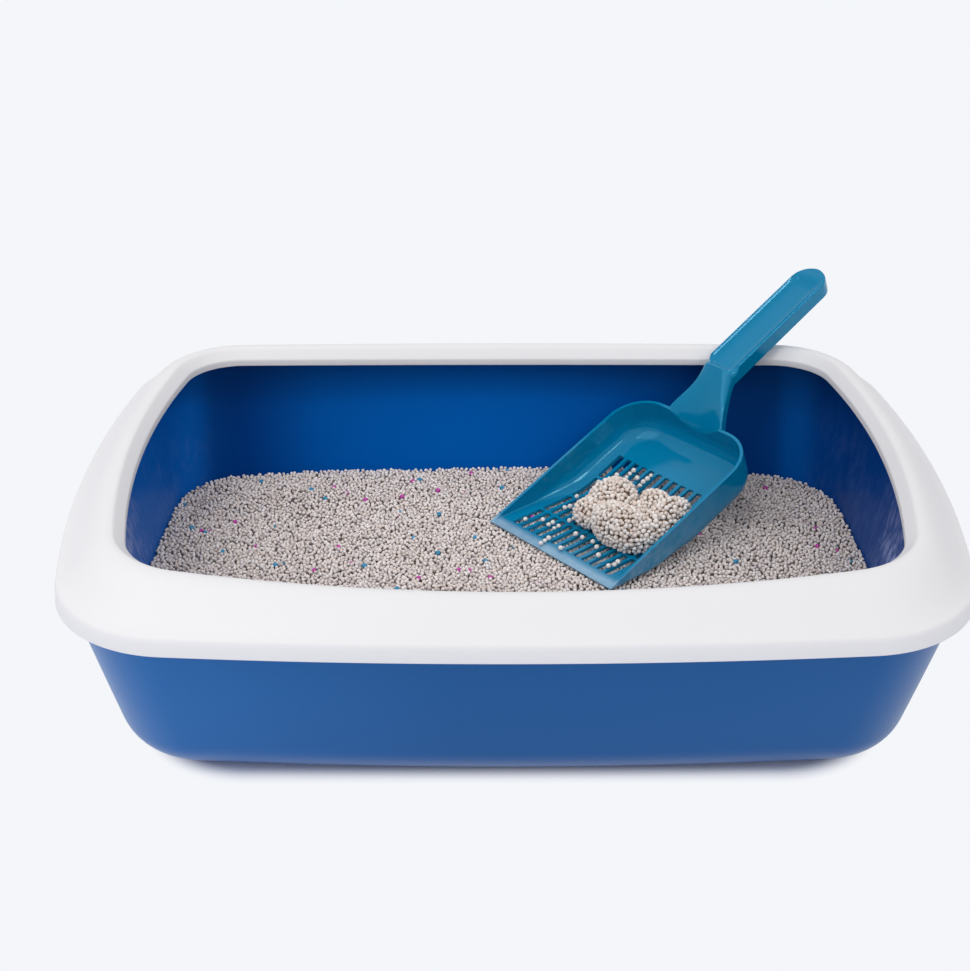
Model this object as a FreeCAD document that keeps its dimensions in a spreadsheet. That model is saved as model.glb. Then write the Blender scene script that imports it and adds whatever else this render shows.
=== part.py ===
"""Open cat litter tray with a lift-off guard rim, its litter, and the slotted scoop that rests in it.

Millimetres. X runs along the tray, Y across it from front to back, Z up from the face it stands on.
The origin is the middle of the tray's underside.
"""
import FreeCAD, Part
import math
import os
import Sketcher
from FreeCAD import Placement, Rotation, Vector

doc = FreeCAD.newDocument("litter_tray")
sheet = doc.addObject("Spreadsheet::Sheet", "sizes")

SIZES = [
    # the guard rim
    ("rim_length", 500.0),
    ("rim_width", 370.0),
    ("rim_end_bow", 16.5),
    ("rim_side_bow", 9.5),
    ("rim_corner", 70.0),
    ("rim_wall", 2.4),
    ("rim_lip_height", 10.0),
    ("rim_lip_draft", 0.8),
    ("rim_skirt_clear", 1.9),
    ("rim_rise", 23.5),
    ("rim_side_dip", 8.0),
    ("skirt_length_reach", 31.0),
    ("skirt_width_reach", 29.6),
    ("skirt_bulge", 2.6),
    ("skirt_sweep", 5.5),
    ("ridge_end_bow", 13.3),
    ("ridge_side_bow", 16.0),
    ("ridge_corner", 44.0),
    ("guard_reach", 5.2),
    ("guard_drop", 5.6),
    ("guard_return", 4.4),
    ("seat_wall", 2.2),
    # the tray
    ("tray_height", 119.0),
    ("tray_wall", 2.5),
    ("tray_floor", 2.5),
    ("tray_length_draft", 13.4),
    ("tray_width_draft", 18.3),
    ("tray_bottom_fillet", 35.0),
    ("tray_base_end_bow", 0.5),
    ("tray_base_side_bow", 7.6),
    ("tray_base_corner", 44.0),
    ("tray_top_end_bow", 15.0),
    ("tray_top_corner", 50.0),
    ("flange_length_reach", 4.4),
    ("flange_width_reach", 9.4),
    ("flange_thickness", 2.5),
    ("lip_fit", 0.5),
    # the litter
    ("litter_level", 50.0),
    ("litter_end_fall", 5.0),
    ("litter_clearance", 0.3),
    # the scoop
    ("pan_length", 138.0),
    ("pan_width", 110.0),
    ("pan_depth", 27.0),
    ("pan_ramp", 67.0),
    ("pan_wall", 2.0),
    ("pan_edge", 1.5),
    ("pan_corner", 26.0),
    ("pan_floor_fillet", 8.0),
    ("slot_count", 13.0),
    ("slot_rows", 4.0),
    ("slot_width", 4.6),
    ("slot_length", 22.0),
    ("slot_pitch", 7.0),
    ("slot_row_pitch", 24.0),
    ("slot_start", 9.0),
    ("neck_run", 28.0),
    ("neck_rise", 22.0),
    ("neck_base_width", 46.0),
    ("handle_width", 25.0),
    ("handle_length", 104.0),
    ("handle_rise", 4.0),
    ("handle_depth", 10.0),
    ("handle_wall", 2.4),
    ("handle_dish", 2.6),
    ("handle_collar", 4.0),
    ("handle_end", 11.0),
    ("scoop_heading", 40.0),
    ("scoop_across", 24.0),
    ("scoop_clearance", 0.3),
    ("scoop_side_gap", 1.0),
    # what the scoop carries
    ("clump_length", 60.0),
    ("clump_width", 74.0),
    ("clump_height", 27.0),
    ("clump_place", 58.0),
    ("clump_aside", 12.0),
    ("granule", 3.4),
    ("granule_count", 24.0),
]
for row, (alias, value) in enumerate(SIZES, start=1):
    sheet.set(f"A{row}", alias)
    sheet.set(f"B{row}", str(value))
    sheet.setAlias(f"B{row}", alias)
doc.recompute()


def size(alias):
    """One driving dimension, read from the sheet."""
    return float(getattr(sheet, alias))


# ---------------------------------------------------------------- rounded rings

class Ring:
    """A rounded oblong: four sides that bow outwards, joined by tangent corner arcs."""

    CORNER_SHARE = 0.3

    def __init__(self, half_length, half_width, end_bow, side_bow, corner):
        self.half_length = half_length
        self.half_width = half_width
        self.end_bow = end_bow
        self.side_bow = side_bow
        self.corner = corner

    def inset(self, gap, across=None):
        """The ring gap further in on its ends and across further in on its long sides."""
        across = gap if across is None else across
        corner = self.corner - min(gap, across)
        return Ring(self.half_length - gap, self.half_width - across, self.end_bow, self.side_bow, corner)

    def toward(self, other, share):
        """The ring that lies a share of the way from this one to the other."""
        def mix(a, b):
            return a + (b - a) * share
        return Ring(
            mix(self.half_length, other.half_length),
            mix(self.half_width, other.half_width),
            mix(self.end_bow, other.end_bow),
            mix(self.side_bow, other.side_bow),
            mix(self.corner, other.corner),
        )

    def arcs(self):
        """The eight arcs, anticlockwise from the right end, as (centre x, centre y, radius, start, sweep)."""
        chord_x = self.half_length - self.end_bow - self.CORNER_SHARE * self.corner
        chord_y = self.half_width - self.side_bow - self.CORNER_SHARE * self.corner
        side_radius = (chord_x**2 + self.side_bow**2) / (2 * self.side_bow)
        end_radius = (chord_y**2 + self.end_bow**2) / (2 * self.end_bow)
        side_y = self.half_width - side_radius
        end_x = self.half_length - end_radius
        # the corner's centre lies one corner radius inside both big arcs
        reach_side = side_radius - self.corner
        reach_end = end_radius - self.corner
        apart = math.hypot(end_x, side_y)
        along = (reach_side**2 - reach_end**2 + apart**2) / (2 * apart)
        off = math.sqrt(reach_side**2 - along**2)
        unit_x = end_x / apart
        unit_y = -side_y / apart
        corner_x = unit_x * along - unit_y * off
        corner_y = side_y + unit_y * along + unit_x * off
        if corner_x < 0:
            corner_x = unit_x * along + unit_y * off
            corner_y = side_y + unit_y * along - unit_x * off
        low = math.atan2(corner_y, corner_x - end_x)
        high = math.atan2(corner_y - side_y, corner_x)
        turn = math.pi
        return [
            (end_x, 0, end_radius, -low, 2 * low),
            (corner_x, corner_y, self.corner, low, high - low),
            (0, side_y, side_radius, high, turn - 2 * high),
            (-corner_x, corner_y, self.corner, turn - high, high - low),
            (-end_x, 0, end_radius, turn - low, 2 * low),
            (-corner_x, -corner_y, self.corner, turn + low, high - low),
            (0, -side_y, side_radius, turn + high, turn - 2 * high),
            (corner_x, -corner_y, self.corner, 2 * turn - high, high - low),
        ]

    def edges(self, level, dip=0.0, samples=7):
        """The ring's edges at a level. With a dip, the middle of the long sides hangs that much lower."""
        edges = []
        for centre_x, centre_y, radius, start, sweep in self.arcs():
            points = []
            for step in range(samples):
                angle = start + sweep * step / (samples - 1)
                x = centre_x + radius * math.cos(angle)
                y = centre_y + radius * math.sin(angle)
                sag = dip * (1 - min(1.0, abs(x) / self.half_length) ** 2)
                points.append(Vector(x, y, level - sag))
            if dip:
                curve = Part.BSplineCurve()
                curve.interpolate(points)
                edges.append(curve.toShape())
            else:
                edges.append(Part.Arc(points[0], points[samples // 2], points[-1]).toShape())
        return edges

    def wire(self, level):
        return Part.Wire(self.edges(level))

    def width_at(self, x):
        """Half the ring's width at x along its long side, between the corners."""
        _, side_y, side_radius, _, _ = self.arcs()[2]
        return side_y + math.sqrt(side_radius**2 - x**2)


def ring_solid(stations):
    """A hoop whose section passes through the stations in turn, each a (ring, level, dip)."""
    loops = [ring.edges(level, dip) for ring, level, dip in stations]
    faces = []
    for index, loop in enumerate(loops):
        following = loops[(index + 1) % len(loops)]
        for near, far in zip(loop, following):
            faces.append(Part.makeRuledSurface(near, far))
    shell = Part.makeShell(faces)
    shell.sewShape(0.01)
    solid = Part.makeSolid(shell)
    if solid.Volume < 0:
        solid.reverse()
    return solid


def tub_solid(base, base_level, top, top_level, fillet):
    """A solid that widens from its base ring to its top ring, with its base edge rounded."""
    block = Part.makeLoft([base.wire(base_level), top.wire(top_level)], True, True)
    foot = [edge for edge in block.Edges if abs(edge.BoundBox.ZMax - base_level) < 0.01]
    return block.makeFillet(fillet, foot)


def feature(name, shape, placement=Placement()):
    """A sub-part made with Part's own functions."""
    item = doc.addObject("Part::Feature", name)
    item.Label = name
    item.Shape = shape
    item.Placement = placement
    return item


# ---------------------------------------------------------------- guard rim

lip = Ring(
    size("rim_length") / 2,
    size("rim_width") / 2,
    size("rim_end_bow"),
    size("rim_side_bow"),
    size("rim_corner"),
)
lip_inside = lip.inset(size("rim_wall"))
flange_edge = lip_inside.inset(size("lip_fit"))
ridge = Ring(
    lip.half_length - size("skirt_length_reach"),
    lip.half_width - size("skirt_width_reach"),
    size("ridge_end_bow"),
    size("ridge_side_bow"),
    size("ridge_corner"),
)
guard_edge = ridge.inset(size("guard_reach"))
seat_level = size("tray_height")
crease_level = seat_level + size("rim_skirt_clear")
lip_bottom = crease_level - size("rim_lip_height")
ridge_level = seat_level + size("rim_rise")


def skirt(share, drop=0.0):
    """The station a share of the way up the skirt, from the crease (0) to the ridge (1)."""
    fullness = size("skirt_bulge") + size("skirt_sweep") * (2 * share - 1)
    bulge = 4 * fullness * share * (1 - share)
    level = crease_level + (ridge_level - crease_level) * share + bulge
    crease = lip.inset(size("rim_lip_draft"))
    return crease.toward(ridge, share), level - drop, size("rim_side_dip") * share


def guard(share, drop=0.0):
    """The station a share of the way from the ridge (0) down the inner face (1)."""
    fall = size("guard_drop") * share**GUARD_CURVE
    return ridge.inset(size("guard_reach") * share), ridge_level - fall - drop, size("rim_side_dip")


# shares up the skirt and in along the guard, and where on the skirt its lip and its seat wall join it
GUARD_CURVE = 1.5
UP = [0.0, 0.2, 0.4, 0.6, 0.8, 0.92, 1.0]
IN = [0.35, 0.7, 1.0]
LIP_SHARE = 0.14
SEAT_SHARE = 0.3


def guard_return(skin):
    """The foot of the short wall that hangs from the guard's inner edge, skin behind its face."""
    return guard_edge.inset(-skin), guard(1.0)[1] - size("guard_return"), size("rim_side_dip")


seat_inner = SEAT_SHARE + size("seat_wall") / size("skirt_length_reach")
wall = size("rim_wall")
rim_stations = [(lip, lip_bottom, 0.0)]
rim_stations += [skirt(share) for share in UP]
rim_stations += [guard(share) for share in IN]
rim_stations += [guard_return(0.0), guard_return(wall)]
rim_stations += [guard(1 - wall / size("guard_reach"), wall)]
rim_stations += [skirt(share, wall) for share in reversed(UP) if share > seat_inner]
rim_stations += [skirt(seat_inner, wall)]
rim_stations += [(skirt(seat_inner)[0], seat_level, 0.0)]
rim_stations += [(skirt(SEAT_SHARE)[0], seat_level, 0.0)]
rim_stations += [skirt(SEAT_SHARE, wall)]
rim_stations += [skirt(LIP_SHARE, wall)]
rim_stations += [(lip_inside, crease_level - wall / 2, 0.0)]
rim_stations += [(lip_inside, lip_bottom, 0.0)]
rim = feature("rim", ring_solid(rim_stations))


# ---------------------------------------------------------------- tray

wall_top = Ring(
    flange_edge.half_length - size("flange_length_reach"),
    flange_edge.half_width - size("flange_width_reach"),
    size("tray_top_end_bow"),
    size("rim_side_bow"),
    size("tray_top_corner"),
)


def tray_ring(level, skin):
    """The tray's wall at a level, skin further in than its outside."""
    fall = seat_level - level
    length_slope = math.tan(math.radians(size("tray_length_draft")))
    width_slope = math.tan(math.radians(size("tray_width_draft")))
    base = Ring(
        wall_top.half_length - seat_level * length_slope,
        wall_top.half_width - seat_level * width_slope,
        size("tray_base_end_bow"),
        size("tray_base_side_bow"),
        size("tray_base_corner"),
    )
    return wall_top.toward(base, fall / seat_level).inset(skin)


def tub(floor, skin, level, fillet):
    return tub_solid(tray_ring(floor, skin), floor, tray_ring(level, skin), level, fillet)


tray_fillet = size("tray_bottom_fillet")
outside = tub(0.0, 0.0, seat_level, tray_fillet)
inside = tub(size("tray_floor"), size("tray_wall"), seat_level + 1, tray_fillet - size("tray_wall"))
flange_face = Part.Face(flange_edge.wire(seat_level - size("flange_thickness")))
flange = flange_face.extrude(Vector(0, 0, size("flange_thickness")))
tray = feature("tray", outside.fuse(flange).cut(inside).removeSplitter())


# ---------------------------------------------------------------- litter

gap = size("litter_clearance")
FILL_REACH = 1.2
fill = tub(
    size("tray_floor") + gap,
    size("tray_wall") + gap,
    seat_level,
    tray_fillet - size("tray_wall") - gap,
)


def litter_height(x):
    """The litter is crowned: highest across the middle and lower towards both ends."""
    return size("litter_level") - size("litter_end_fall") * (x / wall_top.half_length) ** 2


def litter_top():
    """A solid under the crowned surface, wider than the tray."""
    reach = FILL_REACH * wall_top.half_length
    across = FILL_REACH * wall_top.half_width
    steps = [-1.0, -0.5, 0.0, 0.5, 1.0]
    crown = Part.BSplineCurve()
    crown.interpolate([Vector(reach * step, -across, litter_height(reach * step)) for step in steps])
    surface = crown.toShape().extrude(Vector(0, 2 * across, 0))
    return surface.extrude(Vector(0, 0, -size("litter_level")))


litter = feature("litter", fill.common(litter_top()))


# ---------------------------------------------------------------- scoop

# The scoop's own frame: X from its front edge to its handle, Y across, Z up out of the pan.
scoop = doc.addObject("PartDesign::Body", "scoop")
scoop.Label = "scoop"
TINY = 0.01

pan_length = size("pan_length")
pan_depth = size("pan_depth")


def outline_sketch(name, role, corners):
    """A closed outline on one of the scoop's own planes. Each corner is fixed by two expressions."""
    sketch = scoop.newObject("Sketcher::SketchObject", name)
    plane = next(item for item in scoop.Origin.OriginFeatures if item.Role == role)
    sketch.AttachmentSupport = (plane, [""])
    sketch.MapMode = "FlatFace"
    places = [Vector(sheet.evalExpression(along), sheet.evalExpression(up), 0) for along, up in corners]
    count = len(corners)
    for index in range(count):
        sketch.addGeometry(Part.LineSegment(places[index], places[(index + 1) % count]))
    for index in range(count):
        sketch.addConstraint(Sketcher.Constraint("Coincident", index, 2, (index + 1) % count, 1))
    for index, (along, up) in enumerate(corners):
        across = sketch.addConstraint(Sketcher.Constraint("DistanceX", -1, 1, index, 1, places[index].x))
        sketch.setExpression(f"Constraints[{across}]", along)
        height = sketch.addConstraint(Sketcher.Constraint("DistanceY", -1, 1, index, 1, places[index].y))
        sketch.setExpression(f"Constraints[{height}]", up)
    return sketch


def step(kind, name, profile, **expressions):
    """A pad or pocket of an outline, both ways from its plane."""
    made = scoop.newObject(f"PartDesign::{kind}", name)
    made.Profile = profile
    made.Midplane = True
    for key, expression in expressions.items():
        made.setExpression(key, expression)
    doc.recompute()
    return made


def fillet(name, base, radius, chosen):
    """Rounds the edges of the last step that the test chooses."""
    made = scoop.newObject("PartDesign::Fillet", name)
    edges = enumerate(base.Shape.Edges, start=1)
    made.Base = (base, [f"Edge{number}" for number, edge in edges if chosen(edge.BoundBox)])
    made.setExpression("Radius", radius)
    doc.recompute()
    return made


def upright(box):
    return box.ZLength > TINY and box.XLength < TINY and box.YLength < TINY


# the pan: a block with a ramp at its front, rounded at its back
pan_side = outline_sketch("pan_side", "XZ_Plane", [
    ("0", "0"),
    ("sizes.pan_length", "0"),
    ("sizes.pan_length", "-sizes.pan_depth"),
    ("sizes.pan_ramp", "-sizes.pan_depth"),
    ("0", "-sizes.pan_edge"),
])
pan_block = step("Pad", "pan_block", pan_side, Length="sizes.pan_width")
pan_back = fillet("pan_back", pan_block, "sizes.pan_corner",
                  lambda box: upright(box) and box.XMin > pan_length - TINY)
pan_round = fillet("pan_round", pan_back, "sizes.pan_floor_fillet",
                   lambda box: box.ZMax < TINY - pan_depth and box.XMax > size("pan_ramp") + TINY)

pan_shell = scoop.newObject("PartDesign::Thickness", "pan_shell")
pan_shell.Base = (pan_round, [f"Face{number}" for number, face in enumerate(pan_round.Shape.Faces, start=1)
                              if face.BoundBox.ZMin > -TINY])
pan_shell.Reversed = True
pan_shell.setExpression("Value", "sizes.pan_wall")
doc.recompute()

# the neck and handle: a bar that rises off the back of the pan, flared at its foot
throat = "(sizes.pan_length + sizes.neck_run)"
tail = "(sizes.pan_length + sizes.neck_run + sizes.handle_length)"
top = "(sizes.neck_rise + sizes.handle_rise)"
grip_side = outline_sketch("grip_side", "XZ_Plane", [
    ("sizes.pan_length - sizes.pan_wall", "0"),
    (throat, "sizes.neck_rise"),
    (tail, top),
    (tail, f"{top} - sizes.handle_depth"),
    (throat, "sizes.neck_rise - sizes.handle_depth"),
    ("sizes.pan_length - sizes.pan_wall", "-sizes.handle_depth"),
])
grip_block = step("Pad", "grip_block", grip_side, Length="sizes.neck_base_width")
MARGIN = "10"
FLARE_SHARES = [0, 0.25, 0.5, 0.75, 1]
flare_width = "(sizes.neck_base_width - sizes.handle_width)"
for side, sign in (("left", "1"), ("right", "-1")):
    flare = [
        (
            f"sizes.pan_length + sizes.neck_run * {share}",
            f"{sign} * (sizes.handle_width + {flare_width} * {(1 - share) ** 2}) / 2",
        )
        for share in FLARE_SHARES
    ]
    waste = outline_sketch(f"{side}_waste", "XY_Plane", flare + [
        (f"{tail} + {MARGIN}", f"{sign} * sizes.handle_width / 2"),
        (f"{tail} + {MARGIN}", f"{sign} * (sizes.neck_base_width / 2 + {MARGIN})"),
        ("sizes.pan_length", f"{sign} * (sizes.neck_base_width / 2 + {MARGIN})"),
    ])
    step("Pocket", f"{side}_trim", waste, Length=f"4 * (sizes.pan_depth + {top})")
grip_hollow_side = outline_sketch("grip_hollow_side", "XZ_Plane", [
    ("sizes.pan_length + sizes.handle_wall", "sizes.handle_wall - 2 * sizes.handle_depth"),
    ("sizes.pan_length + sizes.handle_wall", "-sizes.handle_wall"),
    (throat, "sizes.neck_rise - sizes.handle_wall - sizes.handle_dish"),
    (f"{tail} - sizes.handle_end", f"{top} - sizes.handle_wall - sizes.handle_dish"),
    (f"{tail} - sizes.handle_end", f"{top} - 2 * sizes.handle_depth"),
    (throat, "sizes.neck_rise - 2 * sizes.handle_depth"),
])
grip_hollow = step("Pocket", "grip_hollow", grip_hollow_side,
                   Length="sizes.handle_width - 2 * sizes.handle_wall")
grip_dish_side = outline_sketch("grip_dish_side", "XZ_Plane", [
    (f"{throat} + sizes.handle_collar", "sizes.neck_rise - sizes.handle_dish"),
    (f"{tail} - sizes.handle_end", f"{top} - sizes.handle_dish"),
    (f"{tail} - sizes.handle_end", f"{top} + {MARGIN}"),
    (f"{throat} + sizes.handle_collar", f"sizes.neck_rise + {MARGIN}"),
])
grip_dish = step("Pocket", "grip_dish", grip_dish_side,
                 Length="sizes.handle_width - 2 * sizes.handle_wall")
tail_at = sheet.evalExpression(tail)
grip_end = fillet("grip_end", grip_dish, "sizes.handle_end",
                  lambda box: upright(box) and box.XMin > tail_at - TINY)

# the sifting slots: one slot, then rows of slots
FIRST_SLOT = "-sizes.slot_pitch * (sizes.slot_count - 1) / 2"
slot_outline = outline_sketch("slot_outline", "XY_Plane", [
    ("sizes.slot_start", f"{FIRST_SLOT} - sizes.slot_width / 2"),
    ("sizes.slot_start + sizes.slot_length", f"{FIRST_SLOT} - sizes.slot_width / 2"),
    ("sizes.slot_start + sizes.slot_length", f"{FIRST_SLOT} + sizes.slot_width / 2"),
    ("sizes.slot_start", f"{FIRST_SLOT} + sizes.slot_width / 2"),
])
slot = step("Pocket", "slot", slot_outline, Length="4 * sizes.pan_depth")
slots = scoop.newObject("PartDesign::MultiTransform", "slots")
slots.Originals = [slot]


def repeat(name, role, spacing, count):
    """Repeats the slot along one of the scoop's own axes."""
    pattern = scoop.newObject("PartDesign::LinearPattern", name)
    pattern.Direction = (next(item for item in scoop.Origin.OriginFeatures if item.Role == role), [""])
    pattern.Mode = "Spacing"
    pattern.setExpression("Offset", spacing)
    pattern.setExpression("Occurrences", count)
    return pattern


slots.Transformations = [
    repeat("slots_across", "Y_Axis", "sizes.slot_pitch", "sizes.slot_count"),
    repeat("slot_rows", "X_Axis", "sizes.slot_row_pitch", "sizes.slot_rows"),
]
scoop.Tip = slots
doc.recompute()


# where the scoop rests: its pan on the litter, its handle on the guard rim behind

SETTLE = 12
HALVINGS = 40
rim_over = [guard(share) for share in IN] + [skirt(share) for share in UP[2:]]
heading = math.radians(size("scoop_heading"))
clear = size("scoop_clearance")
ramp_at = size("pan_ramp")
front_x = size("scoop_across")


def front_y(pitch):
    """How far back the pan sits, its rear left corner just inside the guard's edge."""
    corner = size("pan_corner")
    back_wall = (pan_depth - size("pan_floor_fillet")) * math.sin(pitch)
    along = (pan_length - corner) * math.cos(pitch) + back_wall
    aside = size("pan_width") / 2 - corner
    corner_x = front_x + along * math.cos(heading) - aside * math.sin(heading)
    reach = along * math.sin(heading) + aside * math.cos(heading) + corner
    return guard_edge.width_at(corner_x) - reach - size("scoop_side_gap")


def front_level(pitch):
    """The height of the pan's front edge when its lowest point rests on the litter."""
    lowest = min(
        -size("pan_edge") * math.cos(pitch),
        ramp_at * math.sin(pitch) - pan_depth * math.cos(pitch),
    )
    return size("litter_level") + clear - lowest


def handle_gap(pitch):
    """The least gap between the handle's lower left edge and the rim behind it."""
    slope = size("handle_rise") / size("handle_length")
    aside = size("handle_width") / 2
    gaps = []
    for ring, level, dip in rim_over:
        along = pan_length
        for _ in range(SETTLE):
            height = size("neck_rise") - size("handle_depth") + slope * (along - pan_length - size("neck_run"))
            run = along * math.cos(pitch) - height * math.sin(pitch)
            x = front_x + run * math.cos(heading) - aside * math.sin(heading)
            y = ring.width_at(x) - aside * math.cos(heading)
            run = (y - front_y(pitch)) / math.sin(heading)
            along = (run + height * math.sin(pitch)) / math.cos(pitch)
        under = front_level(pitch) + along * math.sin(pitch) + height * math.cos(pitch)
        gaps.append(under - level + dip * (1 - (x / ring.half_length) ** 2))
    return min(gaps) - clear


# the lean at which the handle just rests on the rim, found by halving
flat, steep = 0.0, math.radians(60)
for _ in range(HALVINGS):
    pitch = (flat + steep) / 2
    if handle_gap(pitch) < 0:
        flat = pitch
    else:
        steep = pitch
print(f"the scoop leans {math.degrees(pitch):.2f} degrees")
scoop_place = Placement(
    Vector(front_x, front_y(pitch), front_level(pitch)),
    Rotation(Vector(0, 0, 1), size("scoop_heading")) * Rotation(Vector(0, 1, 0), -math.degrees(pitch)),
)
scoop.Placement = scoop_place
doc.recompute()


# ---------------------------------------------------------------- what the scoop carries

pan_skin = size("pan_wall")
ramp_slope = (pan_depth - size("pan_edge")) / ramp_at
ramp_lift = pan_skin * math.hypot(1, ramp_slope) - size("pan_edge")


def bed_level(along):
    """The top of the pan's ramp or floor, in the scoop's own frame."""
    return max(ramp_lift - ramp_slope * along, pan_skin - pan_depth)


def lump(along, across, level, length, width, height):
    """One rounded lobe of the clump."""
    ball = Part.makeSphere(1)
    matrix = FreeCAD.Matrix()
    matrix.scale(length, width, height)
    ball = ball.transformGeometry(matrix)
    ball.translate(Vector(along, across, level))
    return ball


def clump_bed():
    """The room above the pan's ramp and floor, wider than the clump."""
    lift = size("scoop_clearance")
    kink = (pan_depth - pan_skin + ramp_lift) / ramp_slope
    corners = [
        Vector(0, -pan_length, bed_level(0) + lift),
        Vector(0, -pan_length, pan_depth),
        Vector(pan_length, -pan_length, pan_depth),
        Vector(pan_length, -pan_length, bed_level(pan_length) + lift),
        Vector(kink, -pan_length, bed_level(pan_length) + lift),
    ]
    return Part.Face(Part.makePolygon(corners + corners[:1])).extrude(Vector(0, 2 * pan_length, 0))


# each lobe: its place along and across the clump, then its length, width and height, as shares of the clump
LOBES = [
    (0.08, 0.26, 0.56, 0.50, 0.92),
    (-0.18, -0.10, 0.60, 0.56, 1.00),
    (0.20, -0.25, 0.58, 0.48, 0.90),
    (0.12, 0.02, 0.40, 0.44, 0.66),
]
LOBE_MIDDLE = 0.35
clump_length = size("clump_length")
clump_width = size("clump_width")
clump_height = size("clump_height")
lobes = []
for along, across, long_share, wide_share, high_share in LOBES:
    place = size("clump_place") + along * clump_length
    lobes.append(lump(
        place,
        across * clump_width - size("clump_aside"),
        bed_level(place) + LOBE_MIDDLE * clump_height,
        long_share * clump_length / 2,
        wide_share * clump_width / 2,
        high_share * clump_height * (1 - LOBE_MIDDLE),
    ))
clump_shape = lobes[0].fuse(lobes[1:]).common(clump_bed())
clump = feature("litter_clump", clump_shape, scoop_place)


# loose granules that the sifting left on the bars between the slots
GRANULE_TRIES = 400
ALONG_STEP = 0.618
ACROSS_STEP = 0.755
scoop_skin = clear / 2


def loose_granules():
    """Balls on the bars, spread by two irrational steps, clear of the clump and of each other."""
    radius = size("granule") / 2
    rise = (radius + scoop_skin) * math.hypot(1, ramp_slope)
    first = size("slot_start")
    last = first + size("slot_row_pitch") * size("slot_rows")
    bars = int(size("slot_count")) - 1
    places = []
    for number in range(1, GRANULE_TRIES):
        if len(places) >= size("granule_count"):
            break
        along = first + (last - first) * (number * ALONG_STEP % 1)
        bar = int(bars * (number * ACROSS_STEP % 1))
        across = size("slot_pitch") * (bar - (bars - 1) / 2)
        place = Vector(along, across, bed_level(along) + rise)
        beside_clump = Part.Vertex(place).distToShape(clump_shape)[0] > radius + scoop_skin
        apart = all((place - other).Length > size("granule") + scoop_skin for other in places)
        if beside_clump and apart:
            places.append(place)
    return Part.makeCompound([Part.makeSphere(radius, place) for place in places])


granules = feature("loose_granules", loose_granules(), scoop_place)


# ---------------------------------------------------------------- write the parts

parts = [tray, rim, litter, scoop, clump, granules]
for item in doc.Objects:
    if "Invalid" in item.State or "Error" in item.State:
        raise RuntimeError(f"{item.Name} failed: {item.State}")
for item in parts:
    if item.Shape.isNull() or not item.Shape.isValid():
        raise RuntimeError(f"{item.Label} has no valid shape")

os.makedirs("parts", exist_ok=True)
for item in parts:
    item.Shape.exportStep(f"parts/{item.Label}.step")
    box = item.Shape.optimalBoundingBox()
    corners = [box.XMin, box.XMax, box.YMin, box.YMax, box.ZMin, box.ZMax]
    print(item.Label, round(item.Shape.Volume), [round(value, 1) for value in corners])
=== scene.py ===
"""Looks for an open cat litter tray: blue tub, white guard rim, ball litter and a teal scoop."""

import math
import random

import bmesh
import bpy
import numpy as np
from mathutils import Matrix, Vector, noise


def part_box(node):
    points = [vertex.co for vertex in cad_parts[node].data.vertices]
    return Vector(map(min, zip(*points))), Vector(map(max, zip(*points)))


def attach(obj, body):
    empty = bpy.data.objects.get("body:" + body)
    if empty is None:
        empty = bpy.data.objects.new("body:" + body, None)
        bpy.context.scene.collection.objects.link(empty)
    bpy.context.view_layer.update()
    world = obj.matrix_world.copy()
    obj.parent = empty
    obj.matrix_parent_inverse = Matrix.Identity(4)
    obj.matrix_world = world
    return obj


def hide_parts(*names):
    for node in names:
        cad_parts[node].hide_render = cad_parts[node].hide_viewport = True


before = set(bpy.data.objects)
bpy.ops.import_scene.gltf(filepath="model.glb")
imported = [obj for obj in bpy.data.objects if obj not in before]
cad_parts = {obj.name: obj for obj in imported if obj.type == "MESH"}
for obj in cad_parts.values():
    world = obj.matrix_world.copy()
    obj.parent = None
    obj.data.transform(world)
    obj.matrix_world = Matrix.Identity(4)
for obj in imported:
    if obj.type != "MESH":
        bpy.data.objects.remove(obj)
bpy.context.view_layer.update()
MM = 0.001


# ---- outlines and meshes

class Outline:
    """A rounded oblong in millimetres: four bowed sides joined by tangent corner arcs."""

    CORNER_SHARE = 0.3
    STEPS = (26, 24, 44)

    def __init__(self, half_length, half_width, end_bow, side_bow, corner):
        self.sizes = np.array([half_length, half_width, end_bow, side_bow, corner], float)

    def inset(self, gap):
        return Outline(*(self.sizes - [gap, gap, 0, 0, gap]))

    def toward(self, other, share):
        return Outline(*(self.sizes + (other.sizes - self.sizes) * share))

    def points(self):
        """Points round the outline, anticlockwise from the right-hand end."""
        half_length, half_width, end_bow, side_bow, corner = self.sizes
        chord_x = half_length - end_bow - self.CORNER_SHARE * corner
        chord_y = half_width - side_bow - self.CORNER_SHARE * corner
        side_radius = (chord_x**2 + side_bow**2) / (2 * side_bow)
        end_radius = (chord_y**2 + end_bow**2) / (2 * end_bow)
        side_y = half_width - side_radius
        end_x = half_length - end_radius
        reach_side = side_radius - corner
        reach_end = end_radius - corner
        apart = math.hypot(end_x, side_y)
        along = (reach_side**2 - reach_end**2 + apart**2) / (2 * apart)
        off = math.sqrt(reach_side**2 - along**2)
        unit_x, unit_y = end_x / apart, -side_y / apart
        corner_x = unit_x * along + unit_y * off
        corner_y = side_y + unit_y * along - unit_x * off
        low = math.atan2(corner_y, corner_x - end_x)
        high = math.atan2(corner_y - side_y, corner_x)
        end_steps, corner_steps, side_steps = self.STEPS
        quarter = [
            (end_x, 0, end_radius, 0, low, end_steps // 2),
            (corner_x, corner_y, corner, low, high, corner_steps),
            (0, side_y, side_radius, high, math.pi / 2, side_steps // 2),
        ]
        first = np.array([
            (centre_x + radius * math.cos(angle), centre_y + radius * math.sin(angle))
            for centre_x, centre_y, radius, start, stop, steps in quarter
            for angle in np.linspace(start, stop, steps, endpoint=False)
        ])
        top = np.array([[0.0, half_width]])
        back = first[:0:-1]
        return np.vstack([first, top, back * [-1, 1], -first, -top, back * [1, -1]])


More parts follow.
